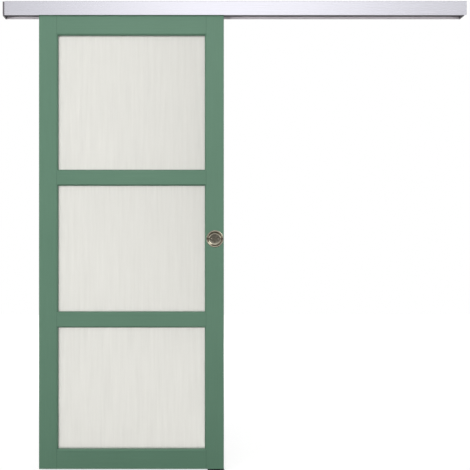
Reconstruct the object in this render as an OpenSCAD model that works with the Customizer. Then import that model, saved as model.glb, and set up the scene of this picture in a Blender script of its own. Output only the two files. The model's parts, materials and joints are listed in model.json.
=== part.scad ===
// Glazed sliding door on a wall-mounted top track, drawn parked open.
// X runs along the track, -Y faces the room and +Z is up, in millimetres.
// The origin is on the floor under the middle of the track, in the leaf's mid-plane.

/* [Leaf] */
// Width of the leaf
leaf_w = 830; // [730:10:1030]
// Height of the leaf
leaf_h = 2040; // [1940:10:2240]
// Thickness of the stiles and rails
leaf_t = 40; // [38:1:46]
// Clear height between the floor and the leaf
floor_gap = 10; // [8:1:14]
// Chamfer along the leaf's outer upright edges
arris = 1; // [0.5:0.5:2]
// Distance from the track's left end to the parked leaf
park_gap = 155; // [100:5:300]

/* [Joinery] */
// Face width of each stile
stile_w = 85; // [85:1:110]
// Face height of the top rail
top_rail_h = 92; // [90:1:130]
// Face height of each middle rail
mid_rail_h = 72; // [66:1:100]
// Face height of the bottom rail
bottom_rail_h = 89; // [88:1:160]
// Clear height of the lower pane's opening
lower_sight_h = 545; // [400:1:600]
// Clear height of the middle pane's opening
middle_sight_h = 566; // [480:1:600]
// Width of the bevel that frames each pane
bevel = 6; // [3:0.5:7]
// Depth of the rebate that holds the glass
rebate = 8; // [7.5:0.5:10]
// Diameter of the dowels in the corner joints
dowel_d = 10; // [8:1:12]
// Length of the dowels
dowel_l = 70; // [50:2:80]
// Distance from a rail's edge to the nearest dowel
dowel_edge = 22; // [18:1:26]
// Space left at each end of a dowel for glue
dowel_end_gap = 1; // [0.5:0.5:2]

/* [Glazing] */
// Thickness of the glass
glass_t = 5; // [4:1:6]
// Space between the glass and the bottom of the rebate
glass_edge = 1.5; // [1:0.5:2.5]
// Thickness of the gasket on each side of the glass
gasket_t = 1; // [0.5:0.5:2]

/* [Flush pulls] */
// Height of the pulls above the leaf's lower edge
pull_h = 1033; // [950:1:1100]
// Diameter of a pull's rim
pull_d = 77; // [70:0.5:77]
// Diameter of a pull's cup at its mouth
cup_d = 64; // [46:1:64]
// Depth of a pull's cup below the leaf's face
cup_depth = 11.5; // [9:0.5:12]
// Radius between a cup's side and its floor
cup_fillet = 10; // [4:0.5:10]
// Wall of a pull, which is also how far its rim stands proud
pull_t = 1.5; // [1:0.25:2]
// How far the middle of a pull's rim is crowned above its edges
rim_crown = 1.2; // [0.5:0.1:1.4]
// Distance between the two screws of a pull
pull_screw_pitch = 32; // [24:1:34]
// Diameter of a pull screw's head
pull_screw_head_d = 6; // [5:0.5:7]
// Height of a pull screw's head
pull_screw_head_h = 1.6; // [1.2:0.2:2]
// Diameter of a pull screw's shank
pull_screw_d = 3; // [2.5:0.5:3.5]
// Length of a pull screw under its head
pull_screw_l = 10; // [8:0.5:12]

/* [Trolleys and hangers] */
// Diameter of the trolley wheels
wheel_d = 20; // [16:1:26]
// Width of a wheel's tread
wheel_w = 8; // [6:0.5:10]
// Chamfer at the edges of a wheel's tread, and depth of its side recess
wheel_edge = 1; // [0.5:0.25:1.5]
// Width of the rim round a wheel's side recess
wheel_rim = 2; // [1.5:0.25:3]
// Length of the boss between a wheel and its trolley
hub_l = 0.8; // [0.5:0.1:1.5]
// Diameter of a wheel's hub
hub_d = 9; // [8:0.5:12]
// Diameter of the axles
axle_d = 5; // [4:0.5:6]
// Diameter of an axle's end heads
axle_head_d = 7; // [6.5:0.5:8]
// Thickness of an axle's end heads
axle_head_t = 0.8; // [0.6:0.1:1.2]
// Distance between the two axles of a trolley
axle_pitch = 48; // [40:1:70]
// Width of a trolley's body
trolley_w = 13; // [12:0.5:18]
// How far a trolley's body reaches past its wheels
trolley_nose = 4; // [2:0.5:8]
// Depth of the pockets that lighten a trolley's sides
trolley_pocket_d = 3; // [1:0.5:4]
// Radius of the pockets' corners
trolley_pocket_r = 2; // [1:0.5:3]
// Wall left between a trolley's pockets and its edges and bores
trolley_wall = 3; // [2:0.5:4]
// Diameter of the hanging bolts
bolt_d = 8; // [8:1:10]
// Width across the flats of the bolt heads and lock nuts
hex_w = 13; // [13:1:17]
// Height of a bolt's head
bolt_head_h = 5.3; // [5:0.1:7]
// Height of a lock nut
nut_h = 6.5; // [5:0.5:7]
// Length of a hanger plate
plate_l = 84; // [76:1:110]
// Width of a hanger plate
plate_w = 32; // [30:1:36]
// Thickness of a hanger plate
plate_t = 3; // [2.5:0.5:4]
// Radius of a hanger plate's corners
plate_corner_r = 5; // [2:0.5:8]
// Diameter of a hanger screw
plate_screw_d = 4; // [3.5:0.5:5]
// Length of a hanger screw under its head
plate_screw_l = 35; // [25:1:40]
// Diameter of a hanger screw's head
plate_screw_head_d = 8; // [7:0.5:9]
// Height of a hanger screw's head
plate_screw_head_h = 2.4; // [2:0.2:3]
// Distance from a hanger plate's edges to its screws
plate_screw_edge = 7; // [6:0.5:9]

/* [Track] */
// Length of the track
track_l = 2056; // [1900:2:2600]
// Height between the leaf's top edge and the underside of the track
hang_gap = 12; // [11:0.5:16]
// Thickness of the two ledges that carry the wheels
ledge_t = 3; // [2:0.5:4]
// Thickness of the track's side walls
side_t = 2; // [1.5:0.5:3]
// Thickness of the web over the wheels
web_t = 2.5; // [2:0.5:4]
// Room over the wheels
head_room = 2.7; // [2:0.1:5]
// Thickness of the plate against the wall
wall_plate_t = 2.5; // [2:0.5:4]
// Height of the wall flange above the web
flange_h = 15.5; // [12:0.5:20]
// Clear width between the leaf and the wall
wall_gap = 12; // [10:0.5:20]
// How far the wall plate hangs below the fascia
wall_plate_drop = 3; // [1:0.5:6]
// Diameter of the round bead along the wall plate's lower edge
plate_bead_d = 5; // [4:0.5:6]
// Diameter of the wall screw holes
wall_hole_d = 5.5; // [4:0.5:6]
// Distance from the track's ends to the nearest wall screw holes
wall_hole_inset = 78; // [50:1:150]
// Number of wall screw holes
wall_holes = 6; // [4:1:8]

/* [Fascia and end caps] */
// Thickness of the fascia
fascia_t = 2; // [1.5:0.5:3]
// Clear width between the leaf and the fascia
front_gap = 10; // [9:0.5:16]
// How far the fascia hangs below the leaf's top edge
fascia_lap = 5; // [0:0.5:9]
// How much longer the fascia is than the capped track
fascia_extra = 2; // [0:1:20]
// How far the fascia is clipped to the right of the track's middle
fascia_shift = 9; // [-15:1:15]
// Depth of the lip along the fascia's lower edge
lip_d = 3; // [2:0.5:5]
// Length of the two clip legs under the fascia's top
clip_h = 8; // [6:0.5:10]
// Thickness of an end cap
cap_t = 6; // [4:0.5:10]
// Depth of an end cap's plug in the track
plug_l = 15; // [10:1:25]
// Wall of an end cap's plug
plug_t = 2; // [1.5:0.5:3]

/* [Stops] */
// Length of a stop's body
stop_l = 36; // [24:1:50]
// Diameter of a stop's rubber buffer
buffer_d = 12; // [9:0.5:14]
// How far a buffer stands out from its stop
buffer_l = 8; // [5:0.5:12]
// Diameter of a buffer's stem
stem_d = 6; // [4:0.5:7]
// Length of a buffer's stem
stem_l = 8; // [5:0.5:10]
// Diameter of a stop's clamp screw
clamp_d = 6; // [5:1:8]
// Distance from a stop's far end to its clamp screw
clamp_inset = 8; // [6:0.5:12]
// Width across the flats of a clamp screw's socket
clamp_key_w = 3; // [2:0.5:4]
// Depth of a clamp screw's socket
clamp_key_d = 3; // [2:0.5:5]

/* [Floor guide] */
// Length of the guide's fin
guide_l = 40; // [30:1:60]
// Width of the groove in the leaf's lower edge
groove_w = 8; // [7:0.5:10]
// Depth of the groove in the leaf's lower edge
groove_d = 20; // [16:0.5:24]
// Length of leaf that stays past the guide at each end of the travel
guide_margin = 15; // [10:1:40]
// How far the guide's base reaches past each end of its fin
base_foot = 18; // [16:0.5:30]
// Width of the guide's base
base_w = 24; // [18:1:30]
// Thickness of the guide's base
base_t = 4; // [3:0.5:6]
// Diameter of the guide's screw holes
guide_hole_d = 4.5; // [3.5:0.5:5]
// Distance from the ends of the guide's base to its screw holes
guide_hole_inset = 9; // [7:0.5:10]
// Depth of the countersinks round the guide's screw holes
countersink = 2; // [1:0.25:2.5]

/* [Fits] */
// Radial clearance of an axle that turns in its trolley
axle_fit = 0.05; // [0.02:0.01:0.1]
// Radial clearance of fixed pins, screws and bolts in their holes
pin_fit = 0.05; // [0.02:0.01:0.1]
// Radial clearance of screws and bolts that pass through a plate
pass_fit = 0.3; // [0.2:0.05:0.5]
// End play between a wheel and its trolley
hub_gap = 0.2; // [0.1:0.05:0.4]
// Gap drawn between a wheel and its ledge
tread_gap = 0.3; // [0.2:0.05:0.4]
// Space between the axle heads and the track's sides
side_gap = 0.7; // [0.4:0.1:2]
// Space between a hanging bolt and each side of the slot
slot_gap = 2; // [1:0.25:3]
// Space between a trolley and a stop's buffer at each end of the travel
stop_gap = 0.3; // [0.2:0.05:0.5]
// Space around the stops and plugs inside the track
slide_fit = 0.3; // [0.2:0.05:0.5]
// Space between the floor guide and each side of its groove
guide_gap = 0.5; // [0.3:0.1:1]
// Space around the clip legs of the fascia
clip_gap = 0.3; // [0.2:0.05:0.4]
// How much lower a trolley's body is than its wheels, above and below
trolley_lift = 1; // [0.5:0.25:2]
// Space round a bolt's head in its pocket
pocket_gap = 1; // [0.5:0.25:3]
// Distance between a hanger plate and the nearest dowels
plate_to_dowel = 4; // [2:0.5:20]
// Space between the floor guide's fin and the bottom of its groove
fin_gap = 2; // [1:0.5:4]
// Space between a stop's body and the web above it
stop_headroom = 2; // [1:0.5:4]
// Space between the wall plate's bead and the wall
bead_setback = 0.3; // [0.1:0.1:1]

/* [Hidden] */
$fn = 48;

// Colours of the finishes
paint_green = "#66856f";
frosted_glass = "#e4e3de";
gasket_white = "#d9d9d4";
beech = "#c9a574";
aluminium = "#cbcad3";
zinc = "#a9abad";
polished_steel = "#8f8c82";
nylon_white = "#e9e7e0";
nylon_black = "#2c2d2f";
cap_grey = "#4b4a4d";
rubber_black = "#1d1d1e";

// Overlap of cutting tools past a surface
over = 1;

// Leaf's own planes
face_y = leaf_t / 2;
seat_y = glass_t / 2 + gasket_t;
leaf_x0 = park_gap - track_l / 2;
leaf_x1 = leaf_x0 + leaf_w;
leaf_z0 = floor_gap;
leaf_z1 = leaf_z0 + leaf_h;
sight_x0 = leaf_x0 + stile_w;
sight_w = leaf_w - 2 * stile_w;

// Heights of the rails and panes
bottom_rail_z = leaf_z0;
lower_pane_z = bottom_rail_z + bottom_rail_h;
lower_mid_rail_z = lower_pane_z + lower_sight_h;
middle_pane_z = lower_mid_rail_z + mid_rail_h;
upper_mid_rail_z = middle_pane_z + middle_sight_h;
upper_pane_z = upper_mid_rail_z + mid_rail_h;
top_rail_z = leaf_z1 - top_rail_h;
upper_sight_h = top_rail_z - upper_pane_z;

// Corner joints: the stile's rebate wall is where a rail's tongue ends
joint_inset = stile_w - rebate;
dowel_y = (face_y - seat_y) / 2;
dowel_r = dowel_d / 2;
bottom_dowels = [bottom_rail_z + groove_d + dowel_edge, lower_pane_z - dowel_edge];
lower_mid_dowels = [lower_mid_rail_z + dowel_edge, middle_pane_z - dowel_edge];
upper_mid_dowels = [upper_mid_rail_z + dowel_edge, upper_pane_z - dowel_edge];
top_dowels = [top_rail_z + dowel_edge, leaf_z1 - dowel_edge];
all_dowels = concat(bottom_dowels, lower_mid_dowels, upper_mid_dowels, top_dowels);

// Flush pulls on the stile that leads when the door closes
pull_x = leaf_x1 - (arris + stile_w - bevel) / 2;
pull_z = leaf_z0 + pull_h;
cup_r = cup_d / 2;
recess_r = cup_r + pull_t + pin_fit;
recess_depth = cup_depth + pull_t;
cup_round = min(cup_fillet, cup_depth - pull_t);
rim_w = pull_d / 2 - cup_r;
crown_r = (pow(rim_w / 2, 2) + pow(rim_crown, 2)) / (2 * rim_crown);

// Trolleys, whose hanger plates clear the dowels
hanger_inset = joint_inset + dowel_l / 2 + dowel_end_gap + plate_to_dowel + plate_l / 2;
left_trolley_x = leaf_x0 + hanger_inset;
right_trolley_x = leaf_x1 - hanger_inset;
wheel_r = wheel_d / 2;
axle_r = axle_d / 2;
trolley_r = wheel_r - trolley_lift;
trolley_half = axle_pitch / 2 + wheel_r + trolley_nose;
wheel_y = trolley_w / 2 + hub_gap + hub_l;
axle_end_y = wheel_y + wheel_w;
left_outer_x = left_trolley_x - axle_pitch / 2;
left_inner_x = left_trolley_x + axle_pitch / 2;
right_inner_x = right_trolley_x - axle_pitch / 2;
right_outer_x = right_trolley_x + axle_pitch / 2;

// Track section, built round the trolleys
run_half = axle_end_y + axle_head_t + side_gap;
run_h = wheel_d + tread_gap + head_room;
slot_w = bolt_d + 2 * slot_gap;
track_half = run_half + side_t;
track_z = leaf_z1 + hang_gap;
run_z = track_z + ledge_t;
axle_z = run_z + tread_gap + wheel_r;
web_z = run_z + run_h;
flange_z = web_z + web_t;
flange_top = flange_z + flange_h;
wall_y = face_y + wall_gap;
wall_plate_y = wall_y - wall_plate_t;
fascia_z = leaf_z1 - fascia_lap;
wall_plate_z = fascia_z - wall_plate_drop;
wall_hole_z = flange_z + flange_h / 2;
wall_hole_pitch = (track_l - 2 * wall_hole_inset) / (wall_holes - 1);

// Fascia and caps
fascia_inner_y = -face_y - front_gap;
fascia_y = fascia_inner_y - fascia_t;
fascia_l = track_l + 2 * cap_t + fascia_extra;
fascia_x = fascia_shift - fascia_l / 2;
fascia_h = flange_top + fascia_t - fascia_z;
rib_y = -track_half;

// Travel: the leaf never leaves the floor guide
travel = leaf_w - guide_l - 2 * guide_margin;
guide_x = leaf_x1 - guide_margin - guide_l / 2;
base_l = guide_l + 2 * base_foot;
fin_r = groove_w / 2 - guide_gap;
fin_top = leaf_z0 + groove_d - fin_gap;
guide_hole_x = base_l / 2 - guide_hole_inset;
left_stop_x = left_trolley_x - trolley_half - stop_gap - buffer_l;
right_stop_x = right_trolley_x + trolley_half + travel + stop_gap + buffer_l;
stop_half = run_half - slide_fit;
stop_h = run_h - stop_headroom;

// Hangers
hex_r = hex_w / 2 / cos(30);
bolt_pocket_r = hex_r + pocket_gap;
bolt_pocket_h = bolt_head_h + pocket_gap;
bolt_top = axle_z + trolley_r - pocket_gap;
plate_screw_x = plate_l / 2 - plate_screw_edge;
plate_screw_y = plate_w / 2 - plate_screw_edge;

// Extrudes a (Y, Z) section along X
module along_x(x, l) {
    translate([x, 0, 0]) rotate([90, 0, 90]) linear_extrude(l) children();
}

// Extrudes an (X, Z) outline along Y, centred on the leaf's mid-plane
module across_y(w) {
    translate([0, w / 2, 0]) rotate([90, 0, 0]) linear_extrude(w) children();
}

// A rectangle between two corners
module span(a, b) {
    translate(a) square([b[0] - a[0], b[1] - a[1]]);
}

// A centred rectangle with round corners
module rounded(l, w, r) {
    square([l, w - 2 * r], center = true);
    square([l - 2 * r, w], center = true);
    for (i = [-1, 1], j = [-1, 1])
        translate([i * (l / 2 - r), j * (w / 2 - r)]) circle(r);
}

// A round bar along X, Y or Z from a point
module bar_x(p, r, l) {
    translate(p) rotate([0, 90, 0]) cylinder(r = r, h = l);
}

module bar_y(p, r, l) {
    translate(p) rotate([-90, 0, 0]) cylinder(r = r, h = l);
}

module bar_z(p, r, l) {
    translate(p) cylinder(r = r, h = l);
}

// Stiles: a bevelled lip on the room side, and a rebate behind it
module stile_blank() {
    difference() {
        translate([0, 0, leaf_z0]) linear_extrude(leaf_h) polygon([
            [arris, -face_y], [stile_w - bevel, -face_y], [stile_w, bevel - face_y],
            [stile_w, -seat_y], [joint_inset, -seat_y], [joint_inset, face_y],
            [arris, face_y], [0, face_y - arris], [0, arris - face_y]
        ]);
        translate([-over, -groove_w / 2, leaf_z0 - over])
            cube([stile_w + 2 * over, groove_w, groove_d + over]);
        for (z = all_dowels)
            bar_x([joint_inset - dowel_l / 2 - dowel_end_gap, dowel_y, z], dowel_r + pin_fit, dowel_l);
    }
}

module pull_recess(side) {
    mirror([0, side == "front" ? 0 : 1, 0]) {
        bar_y([pull_x, -face_y - over, pull_z], recess_r, recess_depth + over);
        for (p = pull_screw_spots(side))
            bar_y([p[0], -face_y, p[1]], pull_screw_d / 2 + pin_fit, cup_depth + pull_screw_l + over);
    }
}

module left_stile() {
    color(paint_green) translate([leaf_x0, 0, 0]) stile_blank();
}

module right_stile() {
    color(paint_green) difference() {
        translate([leaf_x1, 0, 0]) mirror([1, 0, 0]) stile_blank();
        pull_recess("front");
        pull_recess("back");
    }
}

// Rails: the same bevel and rebate on each glazed edge, with ends coped over the stiles' lips
function lower_edge(glazed) = glazed
    ? [[bevel - face_y, 0], [-seat_y, 0], [-seat_y, rebate], [face_y, rebate]]
    : [[-face_y, 0], [face_y, 0]];
function upper_edge(h, glazed) = glazed
    ? [[face_y, h - rebate], [-seat_y, h - rebate], [-seat_y, h], [bevel - face_y, h], [-face_y, h - bevel]]
    : [[face_y, h], [-face_y, h]];
function lower_face(glazed) = glazed ? [[-face_y, bevel]] : [];

module rail(z, h, glazed_below, glazed_above, dowel_heights) {
    difference() {
        intersection() {
            translate([0, 0, z]) along_x(leaf_x0, leaf_w) polygon(
                concat(lower_edge(glazed_below), upper_edge(h, glazed_above), lower_face(glazed_below)));
            translate([0, 0, z]) linear_extrude(h) polygon([
                [sight_x0 - bevel, -face_y], [sight_x0, bevel - face_y], [sight_x0, -seat_y],
                [leaf_x0 + joint_inset, -seat_y], [leaf_x0 + joint_inset, face_y],
                [leaf_x1 - joint_inset, face_y], [leaf_x1 - joint_inset, -seat_y],
                [sight_x0 + sight_w, -seat_y], [sight_x0 + sight_w, bevel - face_y],
                [sight_x0 + sight_w + bevel, -face_y]
            ]);
        }
        for (z = dowel_heights, x = [leaf_x0 + joint_inset, leaf_x1 - joint_inset])
            bar_x([x - dowel_l / 2 - dowel_end_gap, dowel_y, z],
                dowel_r + pin_fit, dowel_l + 2 * dowel_end_gap);
    }
}

module top_rail() {
    color(paint_green) difference() {
        rail(top_rail_z, top_rail_h, true, false, top_dowels);
        for (x = [left_trolley_x, right_trolley_x]) {
            bar_z([x, 0, leaf_z1 - bolt_pocket_h], bolt_pocket_r, bolt_pocket_h + over);
            for (p = plate_screw_spots(x))
                bar_z([p[0], p[1], leaf_z1 - plate_screw_l],
                    plate_screw_d / 2 + pin_fit, plate_screw_l + over);
        }
    }
}

module upper_mid_rail() {
    color(paint_green) rail(upper_mid_rail_z, mid_rail_h, true, true, upper_mid_dowels);
}

module lower_mid_rail() {
    color(paint_green) rail(lower_mid_rail_z, mid_rail_h, true, true, lower_mid_dowels);
}

module bottom_rail() {
    color(paint_green) difference() {
        rail(bottom_rail_z, bottom_rail_h, false, true, bottom_dowels);
        translate([leaf_x0, -groove_w / 2, leaf_z0 - over]) cube([leaf_w, groove_w, groove_d + over]);
    }
}

module dowels() {
    color(beech) for (z = all_dowels, x = [leaf_x0 + joint_inset, leaf_x1 - joint_inset])
        bar_x([x - dowel_l / 2, dowel_y, z], dowel_r, dowel_l);
}

// Glazing: each pane in a gasket of U section, held from behind by four mitred beads
module pane_block(z, h, margin, t) {
    translate([sight_x0 - margin, -t / 2, z - margin]) cube([sight_w + 2 * margin, t, h + 2 * margin]);
}

module pane(z, h) {
    color(frosted_glass) pane_block(z, h, rebate - glass_edge, glass_t);
}

module gasket(z, h) {
    color(gasket_white) difference() {
        pane_block(z, h, rebate, 2 * seat_y);
        pane_block(z, h, rebate - glass_edge, glass_t);
        pane_block(z, h, 0, 2 * seat_y + over);
    }
}

module bead(l) {
    color(paint_green) intersection() {
        along_x(0, l) polygon([
            [seat_y, 0], [face_y, 0], [face_y, rebate - bevel], [face_y - bevel, rebate], [seat_y, rebate]
        ]);
        across_y(leaf_t + over) polygon([[0, 0], [l, 0], [l - rebate, rebate], [rebate, rebate]]);
    }
}

module bead_bottom(z) {
    translate([sight_x0 - rebate, 0, z - rebate]) bead(sight_w + 2 * rebate);
}

module bead_top(z, h) {
    translate([sight_x0 - rebate, 0, z + h + rebate]) mirror([0, 0, 1]) bead(sight_w + 2 * rebate);
}

module bead_right(z, h) {
    translate([sight_x0 + sight_w + rebate, 0, z - rebate]) rotate([0, -90, 0]) bead(h + 2 * rebate);
}

module bead_left(z, h) {
    translate([sight_x0 - rebate, 0, z - rebate]) mirror([1, 0, 0]) rotate([0, -90, 0]) bead(h + 2 * rebate);
}

// Flush pulls: a spun cup with a crowned rim, and two screws through its floor
function pull_screw_spots(side) = side == "front"
    ? [for (s = [-1, 1]) [pull_x + s * pull_screw_pitch / 2, pull_z]]
    : [for (s = [-1, 1]) [pull_x, pull_z + s * pull_screw_pitch / 2]];

module cup_half(r, depth, fillet) {
    span([0, 0], [r, depth - fillet]);
    span([0, 0], [r - fillet, depth]);
    translate([r - fillet, depth - fillet]) intersection() {
        circle(fillet);
        square(fillet);
    }
}

module pull(side) {
    color(polished_steel) mirror([0, side == "front" ? 0 : 1, 0]) difference() {
        translate([pull_x, -face_y, pull_z]) rotate([-90, 0, 0]) rotate_extrude() difference() {
            union() {
                cup_half(cup_r + pull_t, cup_depth + pull_t, cup_round + pull_t);
                intersection() {
                    translate([cup_r + rim_w / 2, crown_r - pull_t]) circle(crown_r);
                    span([0, -pull_t], [pull_d / 2, 0]);
                }
            }
            cup_half(cup_r, cup_depth, cup_round);
            span([0, -pull_t - over], [cup_r, over]);
        }
        for (p = pull_screw_spots(side))
            bar_y([p[0], -face_y, p[1]], pull_screw_d / 2 + pass_fit, recess_depth + over);
    }
}

module front_pull() {
    pull("front");
}

module back_pull() {
    pull("back");
}

module pull_screws() {
    color(polished_steel) for (side = ["front", "back"]) mirror([0, side == "front" ? 0 : 1, 0])
        for (p = pull_screw_spots(side)) {
            bar_y([p[0], cup_depth - pull_screw_head_h - face_y, p[1]],
                pull_screw_head_d / 2, pull_screw_head_h);
            bar_y([p[0], cup_depth - face_y, p[1]], pull_screw_d / 2, pull_screw_l);
        }
}

// Hangers: a plate screwed to the top rail, and a bolt with its head in a pocket under the plate
function plate_screw_spots(x) = [
    for (i = [-1, 1], j = [-1, 1]) [x + i * plate_screw_x, j * plate_screw_y]
];

module hanger_plate(x) {
    color(zinc) difference() {
        translate([x, 0, leaf_z1]) linear_extrude(plate_t) rounded(plate_l, plate_w, plate_corner_r);
        bar_z([x, 0, leaf_z1 - over], bolt_d / 2 + pass_fit, plate_t + 2 * over);
        for (p = plate_screw_spots(x))
            bar_z([p[0], p[1], leaf_z1 - over], plate_screw_d / 2 + pass_fit, plate_t + 2 * over);
    }
}

module hanger_screws() {
    color(zinc) for (x = [left_trolley_x, right_trolley_x], p = plate_screw_spots(x)) {
        bar_z([p[0], p[1], leaf_z1 + plate_t], plate_screw_head_d / 2, plate_screw_head_h);
        bar_z([p[0], p[1], leaf_z1 + plate_t - plate_screw_l], plate_screw_d / 2, plate_screw_l);
    }
}

module hanging_bolts() {
    color(zinc) for (x = [left_trolley_x, right_trolley_x]) {
        translate([x, 0, leaf_z1 - bolt_head_h]) cylinder(r = hex_r, h = bolt_head_h, $fn = 6);
        bar_z([x, 0, leaf_z1], bolt_d / 2, bolt_top - leaf_z1);
    }
}

module lock_nuts() {
    color(zinc) for (x = [left_trolley_x, right_trolley_x]) difference() {
        translate([x, 0, leaf_z1 + plate_t]) cylinder(r = hex_r, h = nut_h, $fn = 6);
        bar_z([x, 0, leaf_z1 + plate_t - over], bolt_d / 2 + pin_fit, nut_h + 2 * over);
    }
}

// Trolleys: a pocketed block with round noses that carries two axles and the hanging bolt
module trolley(x) {
    nose_x = trolley_half - trolley_r;
    pocket_x0 = bolt_d / 2 + pin_fit + trolley_wall;
    pocket_x1 = axle_pitch / 2 - axle_r - axle_fit - trolley_wall;
    color(nylon_black) difference() {
        translate([x, 0, axle_z]) across_y(trolley_w) {
            span([-nose_x, -trolley_r], [nose_x, trolley_r]);
            for (s = [-1, 1])
                translate([s * nose_x, 0]) circle(trolley_r);
        }
        for (s = [-1, 1])
            bar_y([x + s * axle_pitch / 2, -trolley_w / 2 - over, axle_z],
                axle_r + axle_fit, trolley_w + 2 * over);
        bar_z([x, 0, axle_z - trolley_r - over], bolt_d / 2 + pin_fit, 2 * trolley_r + 2 * over);
        for (s = [-1, 1], side = [-1, 1])
            translate([x + s * (pocket_x0 + pocket_x1) / 2, side * trolley_w / 2, axle_z])
                across_y(2 * trolley_pocket_d)
                    rounded(pocket_x1 - pocket_x0, 2 * (trolley_r - trolley_wall), trolley_pocket_r);
    }
}

module axle(x) {
    head_r = axle_head_d / 2;
    color(zinc) {
        bar_y([x, -axle_end_y, axle_z], axle_r, 2 * axle_end_y);
        bar_y([x, axle_end_y, axle_z], head_r, axle_head_t);
        bar_y([x, -axle_end_y - axle_head_t, axle_z], head_r, axle_head_t);
    }
}

module wheel(x, side) {
    bore_r = axle_r + pin_fit;
    hub_r = hub_d / 2;
    edge = wheel_edge;
    rim_r = wheel_r - wheel_rim;
    color(nylon_white) translate([x, 0, axle_z]) mirror([0, side == "front" ? 1 : 0, 0])
        translate([0, wheel_y, 0]) rotate([-90, 0, 0]) rotate_extrude() polygon([
            [bore_r, -hub_l], [hub_r, -hub_l], [hub_r, 0], [wheel_r - edge, 0], [wheel_r, edge],
            [wheel_r, wheel_w - edge], [wheel_r - edge, wheel_w], [rim_r, wheel_w],
            [rim_r, wheel_w - edge], [hub_r, wheel_w - edge], [hub_r, wheel_w], [bore_r, wheel_w]
        ]);
}

// Track: one extrusion with the wall plate, the slotted wheel run and the rib for the fascia
module track_section() {
    difference() {
        span([-track_half, track_z], [track_half, flange_z]);
        span([-run_half, run_z], [run_half, web_z]);
        span([-slot_w / 2, track_z - over], [slot_w / 2, run_z + over]);
    }
    span([track_half - over, web_z], [wall_plate_y + over, flange_z]);
    span([rib_y, web_z], [rib_y + side_t, flange_top]);
    span([wall_plate_y, wall_plate_z + plate_bead_d / 2], [wall_y, flange_top]);
    translate([wall_y - bead_setback - plate_bead_d / 2, wall_plate_z + plate_bead_d / 2])
        circle(plate_bead_d / 2);
}

module track() {
    color(aluminium) difference() {
        along_x(-track_l / 2, track_l) track_section();
        for (i = [0 : wall_holes - 1])
            bar_y([wall_hole_inset - track_l / 2 + i * wall_hole_pitch, wall_plate_y - over, wall_hole_z],
                wall_hole_d / 2, wall_plate_t + 2 * over);
    }
}

// Fascia: an inverted L that clips over the track's rib and rests on the wall flange
module fascia_section() {
    span([fascia_y, fascia_z], [fascia_inner_y, flange_top]);
    span([fascia_y, fascia_z], [fascia_inner_y + lip_d, fascia_z + fascia_t]);
    span([fascia_inner_y, flange_top], [wall_y, flange_top + fascia_t]);
    translate([fascia_inner_y, flange_top]) intersection() {
        circle(fascia_t);
        translate([-fascia_t, 0]) square(fascia_t);
    }
    for (y = [rib_y - clip_gap - fascia_t, rib_y + side_t + clip_gap])
        span([y, flange_top - clip_h], [y + fascia_t, flange_top + over]);
}

module fascia() {
    color(aluminium) along_x(fascia_x, fascia_l) fascia_section();
}

// End caps: a plate notched for the fascia's legs and lip, with a hollow plug in the wheel run
module cap_section() {
    leg_reach = fascia_t + 2 * clip_gap;
    difference() {
        span([fascia_inner_y + slide_fit, wall_plate_z], [wall_y, flange_top]);
        span([rib_y - leg_reach, flange_top - clip_h - clip_gap],
            [rib_y + side_t + leg_reach, flange_top + over]);
        span([fascia_inner_y, wall_plate_z - over],
            [fascia_inner_y + lip_d + slide_fit, fascia_z + fascia_t + slide_fit]);
    }
}

module end_cap(side) {
    plug_half = run_half - slide_fit;
    plug_z = run_z + slide_fit;
    plug_h = run_h - 2 * slide_fit;
    color(cap_grey) mirror([side == "left" ? 1 : 0, 0, 0]) {
        along_x(track_l / 2, cap_t) cap_section();
        along_x(track_l / 2 - plug_l, plug_l + over) difference() {
            span([-plug_half, plug_z], [plug_half, plug_z + plug_h]);
            span([plug_t - plug_half, plug_z + plug_t], [plug_half - plug_t, plug_z + plug_h - plug_t]);
        }
    }
}

module left_end_cap() {
    end_cap("left");
}

module right_end_cap() {
    end_cap("right");
}

// Stops: a block clamped in the wheel run by a set screw, with a rubber buffer towards the trolley
module stop_at(x, side) {
    translate([x, 0, 0]) mirror([side == "left" ? 0 : 1, 0, 0]) children();
}

module stop_block(x, side) {
    color(zinc) stop_at(x, side) difference() {
        translate([-stop_l, -stop_half, run_z]) cube([stop_l, 2 * stop_half, stop_h]);
        bar_x([-stem_l - over, 0, axle_z], stem_d / 2 + pin_fit, stem_l + 2 * over);
        bar_z([clamp_inset - stop_l, 0, run_z - over], clamp_d / 2 + pin_fit, stop_h + 2 * over);
    }
}

module buffer(x, side) {
    color(rubber_black) stop_at(x, side) {
        bar_x([0, 0, axle_z], buffer_d / 2, buffer_l);
        bar_x([-stem_l, 0, axle_z], stem_d / 2, stem_l);
    }
}

module left_stop() {
    stop_block(left_stop_x, "left");
}

module right_stop() {
    stop_block(right_stop_x, "right");
}

module left_buffer() {
    buffer(left_stop_x, "left");
}

module right_buffer() {
    buffer(right_stop_x, "right");
}

module stop_screws() {
    key_r = clamp_key_w / 2 / cos(30);
    color(zinc) for (s = [[left_stop_x, "left"], [right_stop_x, "right"]]) stop_at(s[0], s[1])
        translate([clamp_inset - stop_l, 0, run_z + over]) difference() {
            cylinder(r = clamp_d / 2, h = run_h - over);
            translate([0, 0, -over]) cylinder(r = key_r, h = clamp_key_d + over, $fn = 6);
        }
}

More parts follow.
